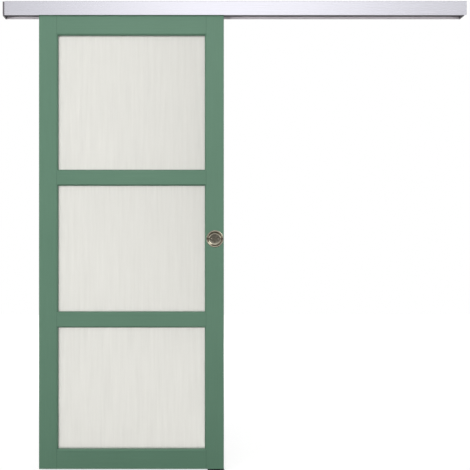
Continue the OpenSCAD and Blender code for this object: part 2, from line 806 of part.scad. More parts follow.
// Floor guide: a fin in the leaf's groove, on a screwed base
module floor_guide() {
    color(nylon_black) translate([guide_x, 0, 0]) difference() {
        union() {
            linear_extrude(base_t) {
                square([base_l - base_w, base_w], center = true);
                for (s = [-1, 1])
                    translate([s * (base_l - base_w) / 2, 0]) circle(base_w / 2);
            }
            linear_extrude(fin_top) {
                square([guide_l - 2 * fin_r, 2 * fin_r], center = true);
                for (s = [-1, 1])
                    translate([s * (guide_l / 2 - fin_r), 0]) circle(fin_r);
            }
        }
        for (s = [-1, 1]) {
            bar_z([s * guide_hole_x, 0, -over], guide_hole_d / 2, base_t + 2 * over);
            translate([s * guide_hole_x, 0, base_t - countersink])
                cylinder(r1 = guide_hole_d / 2, r2 = guide_hole_d / 2 + countersink, h = countersink);
        }
    }
}

track();
fascia();
left_end_cap();
right_end_cap();
left_stop();
right_stop();
left_buffer();
right_buffer();
stop_screws();
floor_guide();
left_stile();
right_stile();
top_rail();
upper_mid_rail();
lower_mid_rail();
bottom_rail();
dowels();
pane(upper_pane_z, upper_sight_h);  // upper_pane
pane(middle_pane_z, middle_sight_h);  // middle_pane
pane(lower_pane_z, lower_sight_h);  // lower_pane
gasket(upper_pane_z, upper_sight_h);  // upper_gasket
gasket(middle_pane_z, middle_sight_h);  // middle_gasket
gasket(lower_pane_z, lower_sight_h);  // lower_gasket
bead_top(upper_pane_z, upper_sight_h);  // upper_bead_top
bead_bottom(upper_pane_z);  // upper_bead_bottom
bead_left(upper_pane_z, upper_sight_h);  // upper_bead_left
bead_right(upper_pane_z, upper_sight_h);  // upper_bead_right
bead_top(middle_pane_z, middle_sight_h);  // middle_bead_top
bead_bottom(middle_pane_z);  // middle_bead_bottom
bead_left(middle_pane_z, middle_sight_h);  // middle_bead_left
bead_right(middle_pane_z, middle_sight_h);  // middle_bead_right
bead_top(lower_pane_z, lower_sight_h);  // lower_bead_top
bead_bottom(lower_pane_z);  // lower_bead_bottom
bead_left(lower_pane_z, lower_sight_h);  // lower_bead_left
bead_right(lower_pane_z, lower_sight_h);  // lower_bead_right
front_pull();
back_pull();
pull_screws();
hanger_plate(left_trolley_x);  // left_hanger_plate
hanger_plate(right_trolley_x);  // right_hanger_plate
hanger_screws();
hanging_bolts();
lock_nuts();
trolley(left_trolley_x);  // left_trolley
trolley(right_trolley_x);  // right_trolley
axle(left_outer_x);  // left_outer_axle
axle(left_inner_x);  // left_inner_axle
axle(right_inner_x);  // right_inner_axle
axle(right_outer_x);  // right_outer_axle
wheel(left_outer_x, "front");  // left_outer_front_wheel
wheel(left_outer_x, "back");  // left_outer_back_wheel
wheel(left_inner_x, "front");  // left_inner_front_wheel
wheel(left_inner_x, "back");  // left_inner_back_wheel
wheel(right_inner_x, "front");  // right_inner_front_wheel
wheel(right_inner_x, "back");  // right_inner_back_wheel
wheel(right_outer_x, "front");  // right_outer_front_wheel
wheel(right_outer_x, "back");  // right_outer_back_wheel
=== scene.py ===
# %% [markdown]
# # A glazed sliding door, dressed piece by piece
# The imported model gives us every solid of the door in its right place, in metres.
# This lesson keeps those solids as a fixed frame and gives them the looks of the real thing:
# satin paint on softened joinery, etched glass, brushed aluminium, spun steel and moulded plastics.
# X runs along the track, -Y faces the room, and +Z is up.

# %% Load the frame
import json
import math

import bmesh
import bpy
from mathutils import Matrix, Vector

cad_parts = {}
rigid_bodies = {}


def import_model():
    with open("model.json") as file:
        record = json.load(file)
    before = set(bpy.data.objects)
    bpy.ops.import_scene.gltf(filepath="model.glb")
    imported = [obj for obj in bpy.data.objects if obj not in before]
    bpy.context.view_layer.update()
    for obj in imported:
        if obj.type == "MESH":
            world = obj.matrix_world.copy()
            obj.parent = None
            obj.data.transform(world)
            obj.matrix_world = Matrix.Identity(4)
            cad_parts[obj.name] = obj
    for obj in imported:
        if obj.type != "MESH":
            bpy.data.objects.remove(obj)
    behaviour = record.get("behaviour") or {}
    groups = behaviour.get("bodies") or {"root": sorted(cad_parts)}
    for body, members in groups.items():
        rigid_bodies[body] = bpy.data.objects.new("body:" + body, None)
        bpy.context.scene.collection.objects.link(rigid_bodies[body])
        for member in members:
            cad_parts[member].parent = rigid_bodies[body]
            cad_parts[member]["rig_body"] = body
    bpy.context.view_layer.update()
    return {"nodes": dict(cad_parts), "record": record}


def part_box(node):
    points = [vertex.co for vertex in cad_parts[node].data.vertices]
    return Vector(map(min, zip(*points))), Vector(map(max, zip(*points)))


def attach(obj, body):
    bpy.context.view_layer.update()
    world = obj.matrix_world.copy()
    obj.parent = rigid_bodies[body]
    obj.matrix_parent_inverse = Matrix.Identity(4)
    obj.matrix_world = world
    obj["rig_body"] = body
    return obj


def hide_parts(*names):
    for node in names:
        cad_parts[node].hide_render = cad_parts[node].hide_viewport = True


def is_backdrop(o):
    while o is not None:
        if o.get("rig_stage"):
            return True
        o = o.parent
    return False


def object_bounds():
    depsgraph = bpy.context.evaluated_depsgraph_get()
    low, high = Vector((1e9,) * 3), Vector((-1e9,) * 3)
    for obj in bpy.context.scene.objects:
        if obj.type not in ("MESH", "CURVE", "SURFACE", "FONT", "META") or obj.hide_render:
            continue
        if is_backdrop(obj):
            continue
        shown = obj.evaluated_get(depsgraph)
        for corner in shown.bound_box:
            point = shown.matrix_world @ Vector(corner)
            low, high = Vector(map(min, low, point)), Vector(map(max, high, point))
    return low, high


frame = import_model()
MM = 0.001

# %% [markdown]
# ## The camera
# The photograph was taken square on, from about the middle of the door's height,
# and from a little to the left of the frame's middle: more of the track's end shows at the right.
# A level camera keeps the uprights parallel, and a small shift of the lens moves the frame aside.
# Its distance decides how much of the wall plate shows below the fascia, so that came first;
# the lens then follows from the width of wall that the square frame takes in at the leaf's face.

# %% Camera
SENSOR = 36.0
CAMERA_DISTANCE = 3.60
FRAMED_WIDTH = 2.1098
FRAMED_X = 0.007
CAMERA_X = -0.2
CAMERA_Z = 1.0603

leaf_face_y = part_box("left_stile")[0].y
lens = bpy.data.cameras.new("studio_lens")
lens.sensor_width = SENSOR
lens.lens = SENSOR * CAMERA_DISTANCE / FRAMED_WIDTH
lens.shift_x = (FRAMED_X - CAMERA_X) / FRAMED_WIDTH
camera = bpy.data.objects.new("studio_camera", lens)
camera.location = (CAMERA_X, leaf_face_y - CAMERA_DISTANCE, CAMERA_Z)
camera.rotation_euler = (math.pi / 2, 0, 0)
bpy.context.scene.collection.objects.link(camera)
bpy.context.scene.camera = camera
print("lens:", round(lens.lens, 2), "mm")

# %% [markdown]
# ## Tools for the finishes
# Colours are easiest to judge as the hex values of a paint card, but shaders count in linear light,
# so one function turns the first into the second.
# A second one adds a node, sets it up and links it, which keeps each recipe below short.
# A third turns the size of a pattern in millimetres into the scale that a Mapping node wants.
# Every material starts and ends in the same way, so those two steps get a function each.
# A noise seldom leaves the middle of its range, so that band is what the recipes stretch.

# %% Colour, node and scale helpers
NOISE_BAND = {"From Min": 0.3, "From Max": 0.7}
FADE_OUT = {"To Min": 1.0, "To Max": 0.0}


def linear(hex_colour):
    """A paint-card colour such as #668572 as linear light, by the sRGB rule, with full opacity."""
    channels = [int(hex_colour[i : i + 2], 16) / 255 for i in (1, 3, 5)]
    return [c / 12.92 if c <= 0.04045 else ((c + 0.055) / 1.055) ** 2.4 for c in channels] + [1.0]


def add(tree, kind, inputs=None, **settings):
    """Adds a node, applies its settings, then fills its inputs with values or links."""
    node = tree.nodes.new(kind)
    for name, value in settings.items():
        setattr(node, name, value)
    for socket, value in (inputs or {}).items():
        if isinstance(value, bpy.types.NodeSocket):
            tree.links.new(value, node.inputs[socket])
        else:
            node.inputs[socket].default_value = value
    return node


def per_mm(x, y, z):
    """The Mapping scale at which a noise of scale 1 has features of these sizes in millimetres."""
    return (1 / (x * MM), 1 / (y * MM), 1 / (z * MM))


print("green check:", [round(c, 3) for c in linear("#668572")])

# %% Start and end of a material
def start_material(name, constants):
    """A material with its constant sockets set; gives it back with its tree, shader and coordinates."""
    material = bpy.data.materials.new(name)
    material.use_nodes = True
    tree = material.node_tree
    shader = tree.nodes["Principled BSDF"]
    for socket, value in constants.items():
        shader.inputs[socket].default_value = value
    place = add(tree, "ShaderNodeTexCoord").outputs["Object"]
    return material, tree, shader, place


def end_material(tree, shader, colour, roughness, relief, strength, depth_mm):
    """Links a finish to its shader: its colour, its roughness, and its relief as bump."""
    bump = add(tree, "ShaderNodeBump", {"Height": relief, "Strength": strength, "Distance": depth_mm * MM})
    tree.links.new(colour, shader.inputs["Base Color"])
    tree.links.new(roughness, shader.inputs["Roughness"])
    tree.links.new(bump.outputs[0], shader.inputs["Normal"])


print("material tools ready")

# %% [markdown]
# ## Satin paint on timber
# The stiles, rails and beads are timber under a sage green satin enamel, put on with a small roller.
# The eye gets three things from it: a broad drift in tone, the grain showing faintly through the film
# along each board, and the fine stipple of the roller, which breaks up the highlights.
# Grain follows the length of a board, so uprights and rails need one material each.
# Timber also moves with the seasons, and the film cracks in a hairline where a rail meets a stile.
# The rails' paint has that line at both ends on the room side, drawn about 1 mm wide so that it shows.

# %% Satin enamel
DRIFT_MM = 320
STIPPLE_MM = 2.2
GRAIN_ACROSS_MM = 5
GRAIN_ALONG_MM = 160
HAIRLINE_MM = 1.2
BEVEL_MM = 6
GREEN_DARK, GREEN_LIGHT = "#5c806b", "#658973"
GREEN_ON_GRAIN, GREEN_IN_CRACK = "#577964", "#3f5848"
GRAIN_SHOWS = {"From Min": 0.35, "From Max": 0.7, "To Max": 0.35}
GRAIN_RELIEF = 0.6
SATIN = {"To Min": 0.36, "To Max": 0.46}


def satin_enamel(name, grain_mm, joints=()):
    material, tree, shader, place = start_material(name, {"IOR": 1.5})
    along = add(tree, "ShaderNodeMapping", {"Vector": place, "Scale": per_mm(*grain_mm)}).outputs[0]
    veins = add(tree, "ShaderNodeTexNoise", {"Vector": along, "Scale": 1, "Detail": 4, "Roughness": 0.6})
    grain = veins.outputs[0]
    drift = add(tree, "ShaderNodeTexNoise", {"Vector": place, "Scale": 1 / (DRIFT_MM * MM), "Detail": 2})
    dabs = add(tree, "ShaderNodeTexNoise", {"Vector": place, "Scale": 1 / (STIPPLE_MM * MM), "Detail": 2})
    stipple = dabs.outputs[0]
    greens = {"A": linear(GREEN_DARK), "B": linear(GREEN_LIGHT)}
    tone = add(tree, "ShaderNodeMix", {"Factor": drift.outputs[0], **greens}, data_type="RGBA")
    shows = add(tree, "ShaderNodeMapRange", {"Value": grain, **GRAIN_SHOWS}).outputs[0]
    veined = add(
        tree,
        "ShaderNodeMix",
        {"Factor": shows, "A": tone.outputs["Result"], "B": linear(GREEN_ON_GRAIN)},
        data_type="RGBA",
    )
    colour = veined.outputs["Result"]
    axes = add(tree, "ShaderNodeSeparateXYZ", {0: place}).outputs
    room_side = add(tree, "ShaderNodeMath", {0: axes["Y"], 1: 0.0}, operation="LESS_THAN").outputs[0]
    half_line = HAIRLINE_MM / 2 * MM
    for x in joints:
        near = add(tree, "ShaderNodeMath", {0: axes["X"], 1: x, 2: half_line}, operation="COMPARE").outputs[0]
        line = add(tree, "ShaderNodeMath", {0: near, 1: room_side}, operation="MULTIPLY").outputs[0]
        dark = linear(GREEN_IN_CRACK)
        crack = add(tree, "ShaderNodeMix", {"Factor": line, "A": colour, "B": dark}, data_type="RGBA")
        colour = crack.outputs["Result"]
    gloss = add(tree, "ShaderNodeMapRange", {"Value": stipple, **NOISE_BAND, **SATIN}).outputs[0]
    relief = add(tree, "ShaderNodeMath", {0: grain, 1: GRAIN_RELIEF, 2: stipple}, operation="MULTIPLY_ADD")
    end_material(tree, shader, colour, gloss, relief.outputs[0], strength=0.35, depth_mm=0.06)
    return material


# A stile's flat face ends where its bevel starts, and that is where the joint shows.
joint_inset = (BEVEL_MM - HAIRLINE_MM / 2) * MM
joint_lines = (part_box("left_stile")[1].x - joint_inset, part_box("right_stile")[0].x + joint_inset)
upright_grain = (GRAIN_ACROSS_MM, GRAIN_ACROSS_MM, GRAIN_ALONG_MM)
rail_grain = (GRAIN_ALONG_MM, GRAIN_ACROSS_MM, GRAIN_ACROSS_MM)
upright_enamel = satin_enamel("satin_enamel_upright", upright_grain)
rail_enamel = satin_enamel("satin_enamel_rail", rail_grain, joint_lines)
print("paints:", upright_enamel.name, rail_enamel.name)

# %% [markdown]
# ## Etched glass
# The panes are float glass with one face etched by acid: light comes through, shapes do not.
# Rough transmission does most of that, and a share of plain white scatter gives the milky face.
# The sheet passed through the bath upright, which leaves very faint streaks from top to bottom.
# The grain of the etch itself is too fine to see here, so its bump is drawn almost 1 mm wide.

# %% Etched glass
STREAK_MM = 15
STREAK_LENGTH_MM = 260
ETCH_MM = 0.8
GLASS_MILKY, GLASS_CLEAR = "#f2f1eb", "#fffef8"
FROST = {"To Min": 0.36, "To Max": 0.46}


def etched_glass():
    constants = {"IOR": 1.52, "Transmission Weight": 0.75}
    material, tree, shader, place = start_material("acid_etched_glass", constants)
    streak_scale = per_mm(STREAK_MM, STREAK_LENGTH_MM, STREAK_LENGTH_MM)
    upright = add(tree, "ShaderNodeMapping", {"Vector": place, "Scale": streak_scale}).outputs[0]
    streak = add(tree, "ShaderNodeTexNoise", {"Vector": upright, "Scale": 1, "Detail": 5, "Roughness": 0.65})
    clear = add(tree, "ShaderNodeMapRange", {"Value": streak.outputs[0], **NOISE_BAND}).outputs[0]
    whites = {"A": linear(GLASS_MILKY), "B": linear(GLASS_CLEAR)}
    tone = add(tree, "ShaderNodeMix", {"Factor": clear, **whites}, data_type="RGBA").outputs["Result"]
    frost = add(tree, "ShaderNodeMapRange", {"Value": clear, **FROST}).outputs[0]
    etch = add(tree, "ShaderNodeTexNoise", {"Vector": place, "Scale": 1 / (ETCH_MM * MM), "Detail": 2})
    end_material(tree, shader, tone, frost, etch.outputs[0], strength=0.2, depth_mm=0.02)
    return material


glass = etched_glass()
print("glass:", glass.name)

# %% [markdown]
# ## Brushed and anodised aluminium
# The fascia and track are extrusions, brushed along their length and then anodised.
# The brush leaves fine parallel scratches: each one tilts the surface up or down a little,
# so a lamp smears into an upright streak, while the colour shifts slightly from scratch to scratch.
# Real scratches are far finer than a pixel here, so they are drawn about 1 mm wide to show at all.
# The track is duller, in a grey that also stands in for the shade under the fascia.
# Its wall plate gets a painted highlight: the colour turns pale below a height, where the front lamps reach
# under the fascia, everywhere but on the face against the wall.

# %% Brushed aluminium
SCRATCH_MM = 1.1
SCRATCH_LENGTH_MM = 420
BRUSHED = {"To Min": 0.22, "To Max": 0.3}
MATT = {"To Min": 0.55, "To Max": 0.65}
# Colour and top height of the painted highlight on the track's wall plate, where the front lamps reach under
# the fascia.
LIT_BAND_COLOUR = "#f6f0f5"
LIT_BAND_MM = 11
LIT_BAND_FADE_MM = 1

track_low, track_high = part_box("track")
wall_y = track_high.y


def drawn_aluminium(name, dark, light, gloss_range, metallic, lit_band_top=0.0):
    material, tree, shader, place = start_material(name, {"Metallic": metallic})
    scratch_scale = per_mm(SCRATCH_LENGTH_MM, SCRATCH_MM, SCRATCH_MM)
    along = add(tree, "ShaderNodeMapping", {"Vector": place, "Scale": scratch_scale}).outputs[0]
    brush = add(tree, "ShaderNodeTexNoise", {"Vector": along, "Scale": 1, "Detail": 4, "Roughness": 0.7})
    scratch = brush.outputs[0]
    greys = {"A": linear(dark), "B": linear(light)}
    tone = add(tree, "ShaderNodeMix", {"Factor": scratch, **greys}, data_type="RGBA").outputs["Result"]
    # Painted highlight: below the band's top, on all but the face against the wall, the colour turns pale
    # where the front lamps light the wall plate under the fascia.
    axes = add(tree, "ShaderNodeSeparateXYZ", {0: place}).outputs
    edge = LIT_BAND_FADE_MM * MM
    band = {"From Min": lit_band_top, "From Max": lit_band_top + edge, **FADE_OUT}
    low = add(tree, "ShaderNodeMapRange", {"Value": axes["Z"], **band}).outputs[0]
    skin = {"From Min": wall_y - 2 * edge, "From Max": wall_y - edge, **FADE_OUT}
    room_side = add(tree, "ShaderNodeMapRange", {"Value": axes["Y"], **skin}).outputs[0]
    cut = add(tree, "ShaderNodeMath", {0: low, 1: room_side}, operation="MULTIPLY").outputs[0]
    pale = linear(LIT_BAND_COLOUR)
    bright = add(tree, "ShaderNodeMix", {"Factor": cut, "A": tone, "B": pale}, data_type="RGBA")
    gloss = add(tree, "ShaderNodeMapRange", {"Value": scratch, **NOISE_BAND, **gloss_range}).outputs[0]
    end_material(tree, shader, bright.outputs["Result"], gloss, scratch, strength=0.5, depth_mm=0.12)
    return material


aluminium = drawn_aluminium("brushed_anodised_aluminium", "#d9d8e4", "#f0eff5", BRUSHED, metallic=1.0)
# The track's dull grey also stands in for the shade under the fascia; the painted highlight stops at this
# height, where the fascia's shadow begins.
lit_band_top = track_low.z + LIT_BAND_MM * MM
matt_aluminium = drawn_aluminium(
    "matt_anodised_aluminium", "#949093", "#a7a3a6", MATT, metallic=0.2, lit_band_top=lit_band_top
)
print("metals:", aluminium.name, matt_aluminium.name)

# %% [markdown]
# ## Spun stainless steel
# The flush pulls are spun from sheet on a lathe and polished, which leaves rings round their axis.
# A Wave texture in rings gives those, once a Mapping node has moved the pattern to the pull's centre.
# At a scale of 1 its rings lie a tenth of pi metres apart, so the scale follows from their real spacing.
# Handling wears a soft haze into the polish, so the roughness wanders a little too.

# %% Spun steel
RING_MM = 0.7
WAVE_PERIOD = 2 * math.pi / 20
HAZE_MM = 9
STEEL_DARK, STEEL_LIGHT = "#a49e8c", "#bbb5a4"
POLISH = {"To Min": 0.08, "To Max": 0.16}

pull_low, pull_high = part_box("front_pull")
pull_centre = (pull_low + pull_high) / 2


def spun_steel():
    material, tree, shader, place = start_material("spun_stainless_steel", {"Metallic": 1.0})
    axis = (-pull_centre.x, 0, -pull_centre.z)
    centred = add(tree, "ShaderNodeMapping", {"Vector": place, "Location": axis}).outputs[0]
    rings = add(
        tree,
        "ShaderNodeTexWave",
        {"Vector": centred, "Scale": WAVE_PERIOD / (RING_MM * MM), "Distortion": 0.6},
        wave_type="RINGS",
        rings_direction="Y",
    )
    wear = add(tree, "ShaderNodeTexNoise", {"Vector": place, "Scale": 1 / (HAZE_MM * MM), "Detail": 3})
    haze = wear.outputs[0]
    greys = {"A": linear(STEEL_DARK), "B": linear(STEEL_LIGHT)}
    tone = add(tree, "ShaderNodeMix", {"Factor": haze, **greys}, data_type="RGBA").outputs["Result"]
    gloss = add(tree, "ShaderNodeMapRange", {"Value": haze, **NOISE_BAND, **POLISH}).outputs[0]
    end_material(tree, shader, tone, gloss, rings.outputs[1], strength=0.15, depth_mm=0.02)
    return material


steel = spun_steel()
print("pull centre:", [round(c, 4) for c in pull_centre])

# %% [markdown]
# ## Plain finishes of the hidden hardware
# Zinc plate, moulded nylon, ABS, rubber, silicone and beech all read as one colour that wanders a little,
# with a fine relief: the crystals of the plating, the spark texture of a mould, the pores of rubber.
# One recipe serves them all, with the size of the relief in millimetres and a pair of colours each.
# The finest of these reliefs can't show at this distance, so none is drawn under about 1 mm wide.

# %% Hardware finishes
ROUGHNESS_SPREAD = 0.06
# Each row: dark and light colour, grain in mm along X, Y and Z, roughness, relief in mm, constants.
HARDWARE = {
    "bright_zinc_plate": ("#9ea1a5", "#bcc0c3", (6, 6, 6), 0.32, 0.02, {"Metallic": 1.0}),
    "white_nylon": ("#e2e0d8", "#efede6", (3, 3, 3), 0.42, 0.03, {"IOR": 1.53}),
    "black_glass_filled_nylon": ("#252628", "#353638", (1.2, 1.2, 1.2), 0.5, 0.04, {"IOR": 1.53}),
    "grey_abs": ("#6b676c", "#787479", (1.5, 1.5, 1.5), 0.45, 0.04, {"IOR": 1.54}),
    "black_rubber": ("#191919", "#262627", (2, 2, 2), 0.75, 0.05, {"IOR": 1.52}),
    "white_silicone": ("#d3d3ce", "#dfdfda", (5, 5, 5), 0.5, 0.02, {"IOR": 1.41}),
    "turned_beech": ("#b98f5f", "#d4b184", (40, 1.5, 1.5), 0.6, 0.05, {"IOR": 1.5}),
}


def plain_finish(name, dark, light, grain_mm, rough, relief_mm, constants):
    material, tree, shader, place = start_material(name, constants)
    scaled = add(tree, "ShaderNodeMapping", {"Vector": place, "Scale": per_mm(*grain_mm)}).outputs[0]
    grain = add(tree, "ShaderNodeTexNoise", {"Vector": scaled, "Scale": 1, "Detail": 3}).outputs[0]
    colours = {"A": linear(dark), "B": linear(light)}
    tone = add(tree, "ShaderNodeMix", {"Factor": grain, **colours}, data_type="RGBA").outputs["Result"]
    spread = {"To Min": rough - ROUGHNESS_SPREAD, "To Max": rough + ROUGHNESS_SPREAD}
    gloss = add(tree, "ShaderNodeMapRange", {"Value": grain, **NOISE_BAND, **spread}).outputs[0]
    end_material(tree, shader, tone, gloss, grain, strength=0.4, depth_mm=relief_mm)
    return material


plain = {name: plain_finish(name, *facts) for name, facts in HARDWARE.items()}
zinc = plain["bright_zinc_plate"]
print("plain finishes:", list(plain))

# %% [markdown]
# ## One finish for each slot
# The record gives each solid a material slot, so a table from slot to finish dresses all of them at once.
# Pieces made further on stand for some of these solids, and take their finish from the same table.

# %% Dress the solids
finish_of_slot = {
    "painted_wood": upright_enamel,
    "frosted_glass": glass,
    "glazing_gasket": plain["white_silicone"],
    "beech": plain["turned_beech"],
    "brushed_aluminium": aluminium,
    "polished_steel": steel,
    "zinc_steel": zinc,
    "white_nylon": plain["white_nylon"],
    "black_nylon": plain["black_glass_filled_nylon"],
    "grey_plastic": plain["grey_abs"],
    "black_rubber": plain["black_rubber"],
}
slot_of_node = {row["node"]: row["material_slot"] for row in frame["record"]["subparts"]}
for name, node in frame["nodes"].items():
    node.data.materials.clear()
    node.data.materials.append(finish_of_slot[slot_of_node[name]])
frame["nodes"]["track"].data.materials[0] = matt_aluminium
print("finishes:", len(finish_of_slot))

# %% [markdown]
# ## Softened edges
# No edge of a painted board or a moulding is knife sharp: sandpaper, paint and moulds round it off,
# and that thin rounding is what catches the light along a joint.
# So each such solid is copied, its loose triangles are welded and joined into clean faces,
# and a Bevel of a fraction of a millimetre is applied. The copy then stands for the solid.

# %% Tools for new pieces
def plain_object(name, mesh, material):
    """A new object at the origin, with its place in its mesh."""
    mesh.materials.clear()
    mesh.materials.append(material)
    piece = bpy.data.objects.new(name, mesh)
    bpy.context.scene.collection.objects.link(piece)
    return piece


def applied(piece):
    """Turns a piece with modifiers into a plain mesh, and removes the modifiers."""
    seen = piece.evaluated_get(bpy.context.evaluated_depsgraph_get())
    mesh = bpy.data.meshes.new_from_object(seen)
    piece.modifiers.clear()
    piece.data = mesh
    mesh.name = piece.name
    return piece


def hand_in(piece, body, slot, *nodes):
    """Lets a piece ride on its body and stand for the solids that it replaces."""
    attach(piece, body)
    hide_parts(*nodes)


print("piece tools ready")

# %% Softening tool
WELD = 1e-6
FLAT_ANGLE = math.radians(0.5)
SHARP_ANGLE = math.radians(30)
EDGE_SEGMENTS = 2


def softened(node, ending, edge_mm, material):
    mesh = frame["nodes"][node].data.copy()
    work = bmesh.new()
    work.from_mesh(mesh)
    bmesh.ops.remove_doubles(work, verts=work.verts, dist=WELD)
    bmesh.ops.dissolve_limit(work, angle_limit=FLAT_ANGLE, verts=work.verts, edges=work.edges)
    for face in work.faces:
        face.smooth = True
    work.to_mesh(mesh)
    work.free()
    piece = plain_object(f"{node}_{ending}", mesh, material)
    bevel = piece.modifiers.new("soft_edge", "BEVEL")
    bevel.width = edge_mm * MM
    bevel.segments = EDGE_SEGMENTS
    bevel.limit_method = "ANGLE"
    bevel.angle_limit = SHARP_ANGLE
    flat = piece.modifiers.new("flat_faces", "WEIGHTED_NORMAL")
    flat.keep_sharp = True
    applied(piece)
    hand_in(piece, frame["nodes"][node]["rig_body"], slot_of_node[node], node)


print("softening tool ready")

# %% [markdown]
# ## The joinery
# Stiles run the full height, and the rails are coped over their bevels. Their edges are sanded,
# and each rail's paint shows its hairline where it meets a stile.
# Behind the glass, mitred beads hold each pane.

# %% Stiles, rails and beads
JOINERY_EDGE_MM = 0.7
BEAD_EDGE_MM = 0.5

for node in ("left_stile", "right_stile"):
    softened(node, "painted", JOINERY_EDGE_MM, upright_enamel)
for node in ("top_rail", "upper_mid_rail", "lower_mid_rail", "bottom_rail"):
    softened(node, "painted", JOINERY_EDGE_MM, rail_enamel)
for pane in ("upper", "middle", "lower"):
    for side in ("top", "bottom"):
        softened(f"{pane}_bead_{side}", "painted", BEAD_EDGE_MM, rail_enamel)
    for side in ("left", "right"):
        softened(f"{pane}_bead_{side}", "painted", BEAD_EDGE_MM, upright_enamel)

# %% [markdown]
# ## The rest of the softened pieces
# Extrusions come off the saw with a light arris, mouldings have the radius of their mould,
# and pressed steel a small roll at its edge. Each kind gets its own radius.

# %% Fascia, caps and hardware
EDGE_MM = {
    "fascia": 0.4,
    "left_end_cap": 0.8,
    "right_end_cap": 0.8,
    "floor_guide": 0.6,
    "left_trolley": 0.5,
    "right_trolley": 0.5,
    "left_hanger_plate": 0.4,
    "right_hanger_plate": 0.4,
    "lock_nuts": 0.5,
    "left_stop": 0.5,
    "right_stop": 0.5,
    "left_buffer": 1.0,
    "right_buffer": 1.0,
}
for node, edge_mm in EDGE_MM.items():
    softened(node, "softened", edge_mm, finish_of_slot[slot_of_node[node]])
print("softened pieces:", len(EDGE_MM))

# %% [markdown]
# ## The flush pulls
# Each pull is one sheet of steel spun into a cup with a crowned rim. A lathe shape is a profile turned
# round an axis, so the profile is drawn once, as short lines and arcs from the middle of the cup's floor
# to the back of the rim and home again, and spun in many small steps for a clean reflection.

# %% Profile of a pull, in millimetres
MOUTH_R = 32.0
CUP_FILLET = 10.0
SHEET = 1.5
RIM_CROWN = 1.2
ARC_STEPS = 12

RIM_R = (pull_high.x - pull_low.x) / 2 / MM
RIM_PROUD = (leaf_face_y - pull_low.y) / MM
CUP_DEPTH = (pull_high.y - leaf_face_y) / MM - SHEET
RIM_HALF = (RIM_R - MOUTH_R) / 2
CROWN_R = (RIM_HALF**2 + RIM_CROWN**2) / (2 * RIM_CROWN)
CROWN_ANGLE = math.degrees(math.asin(RIM_HALF / CROWN_R))


def arc(centre, radius, start, end):
    """Points of an arc in the (radius, outwards) plane, with angles in degrees."""
    angles = [math.radians(start + (end - start) * i / ARC_STEPS) for i in range(ARC_STEPS + 1)]
    return [(centre[0] + radius * math.cos(a), centre[1] + radius * math.sin(a)) for a in angles]


def pull_profile():
    floor, back = -CUP_DEPTH, -CUP_DEPTH - SHEET
    corner = MOUTH_R - CUP_FILLET
    return (
        [(0, floor), (corner / 2, floor)]
        + arc((corner, floor + CUP_FILLET), CUP_FILLET, -90, 0)
        + arc((MOUTH_R + RIM_HALF, RIM_PROUD - CROWN_R), CROWN_R, 90 + CROWN_ANGLE, 90 - CROWN_ANGLE)
        + [(RIM_R, 0), (MOUTH_R + SHEET, 0)]
        + arc((corner, floor + CUP_FILLET), CUP_FILLET + SHEET, 0, -90)
        + [(0, back)]
    )


print("pull radius:", round(RIM_R, 1), "cup depth:", round(CUP_DEPTH, 1))

# %% Spun pulls
SPIN_STEPS = 128


def spun_pull(name, face_y, outwards):
    work = bmesh.new()
    centre = Vector((pull_centre.x, face_y, pull_centre.z))
    spots = [centre + Vector((r * MM, outwards * out * MM, 0)) for r, out in pull_profile()]
    ring = [work.verts.new(spot) for spot in spots]
    edges = [work.edges.new(pair) for pair in zip(ring, ring[1:])]
    bmesh.ops.spin(
        work,
        geom=ring + edges,
        cent=centre,
        axis=(0, 1, 0),
        angle=2 * math.pi,
        steps=SPIN_STEPS,
    )
    bmesh.ops.remove_doubles(work, verts=work.verts, dist=WELD)
    bmesh.ops.recalc_face_normals(work, faces=work.faces)
    for face in work.faces:
        face.smooth = True
    mesh = bpy.data.meshes.new(name)
    work.to_mesh(mesh)
    work.free()
    return plain_object(name, mesh, steel)


leaf_back_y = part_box("left_stile")[1].y
for side, face_y, outwards in (("front", leaf_face_y, -1), ("back", leaf_back_y, 1)):
    pull = spun_pull(f"{side}_pull_spun", face_y, outwards)
    hand_in(pull, "leaf", "polished_steel", f"{side}_pull")
print("pull faces:", len(pull.data.polygons))

# %% [markdown]
# ## Screws and bolts by Geometry Nodes
# A dozen pan-head screws hold the pulls and the hanger plates, and two bolts carry the leaf on its trolleys.
# Things that repeat are work for Geometry Nodes: a tree builds one fastener from named sizes
# and puts a copy on each point of a small mesh. Each point carries the turn of its copy as an attribute.
# The result is made a plain mesh at the end, because instances don't leave Blender.
# The start and the end of such a tree are always the same, so they come first.

# %% Start and end of a fastener tree
def start_tree(name, sizes):
    """A tree that takes points, sizes by name and a finish; gives it back with those inputs."""
    tree = bpy.data.node_groups.new(name, "GeometryNodeTree")
    face = tree.interface
    face.new_socket("Geometry", in_out="INPUT", socket_type="NodeSocketGeometry")
    for size in sizes:
        face.new_socket(size, in_out="INPUT", socket_type="NodeSocketFloat")
    face.new_socket("Finish", in_out="INPUT", socket_type="NodeSocketMaterial")
    face.new_socket("Geometry", in_out="OUTPUT", socket_type="NodeSocketGeometry")
    return tree, add(tree, "NodeGroupInput").outputs


def copy_to_points(tree, given, *shapes):
    """Joins the shapes into one fastener, puts a real copy on each point, and ends the tree."""
    whole = add(tree, "GeometryNodeJoinGeometry")
    for shape in shapes:
        tree.links.new(shape, whole.inputs[0])
    turn = add(tree, "GeometryNodeInputNamedAttribute", {"Name": "turn"}, data_type="FLOAT_VECTOR")
    copies = add(
        tree,
        "GeometryNodeInstanceOnPoints",
        {"Points": given["Geometry"], "Instance": whole.outputs[0], "Rotation": turn.outputs[0]},
    )
    real = add(tree, "GeometryNodeRealizeInstances", {0: copies.outputs[0]})
    done = add(tree, "GeometryNodeSetMaterial", {"Geometry": real.outputs[0], "Material": given["Finish"]})
    add(tree, "NodeGroupOutput", {0: done.outputs[0]})


print("fastener trees have a start and an end")

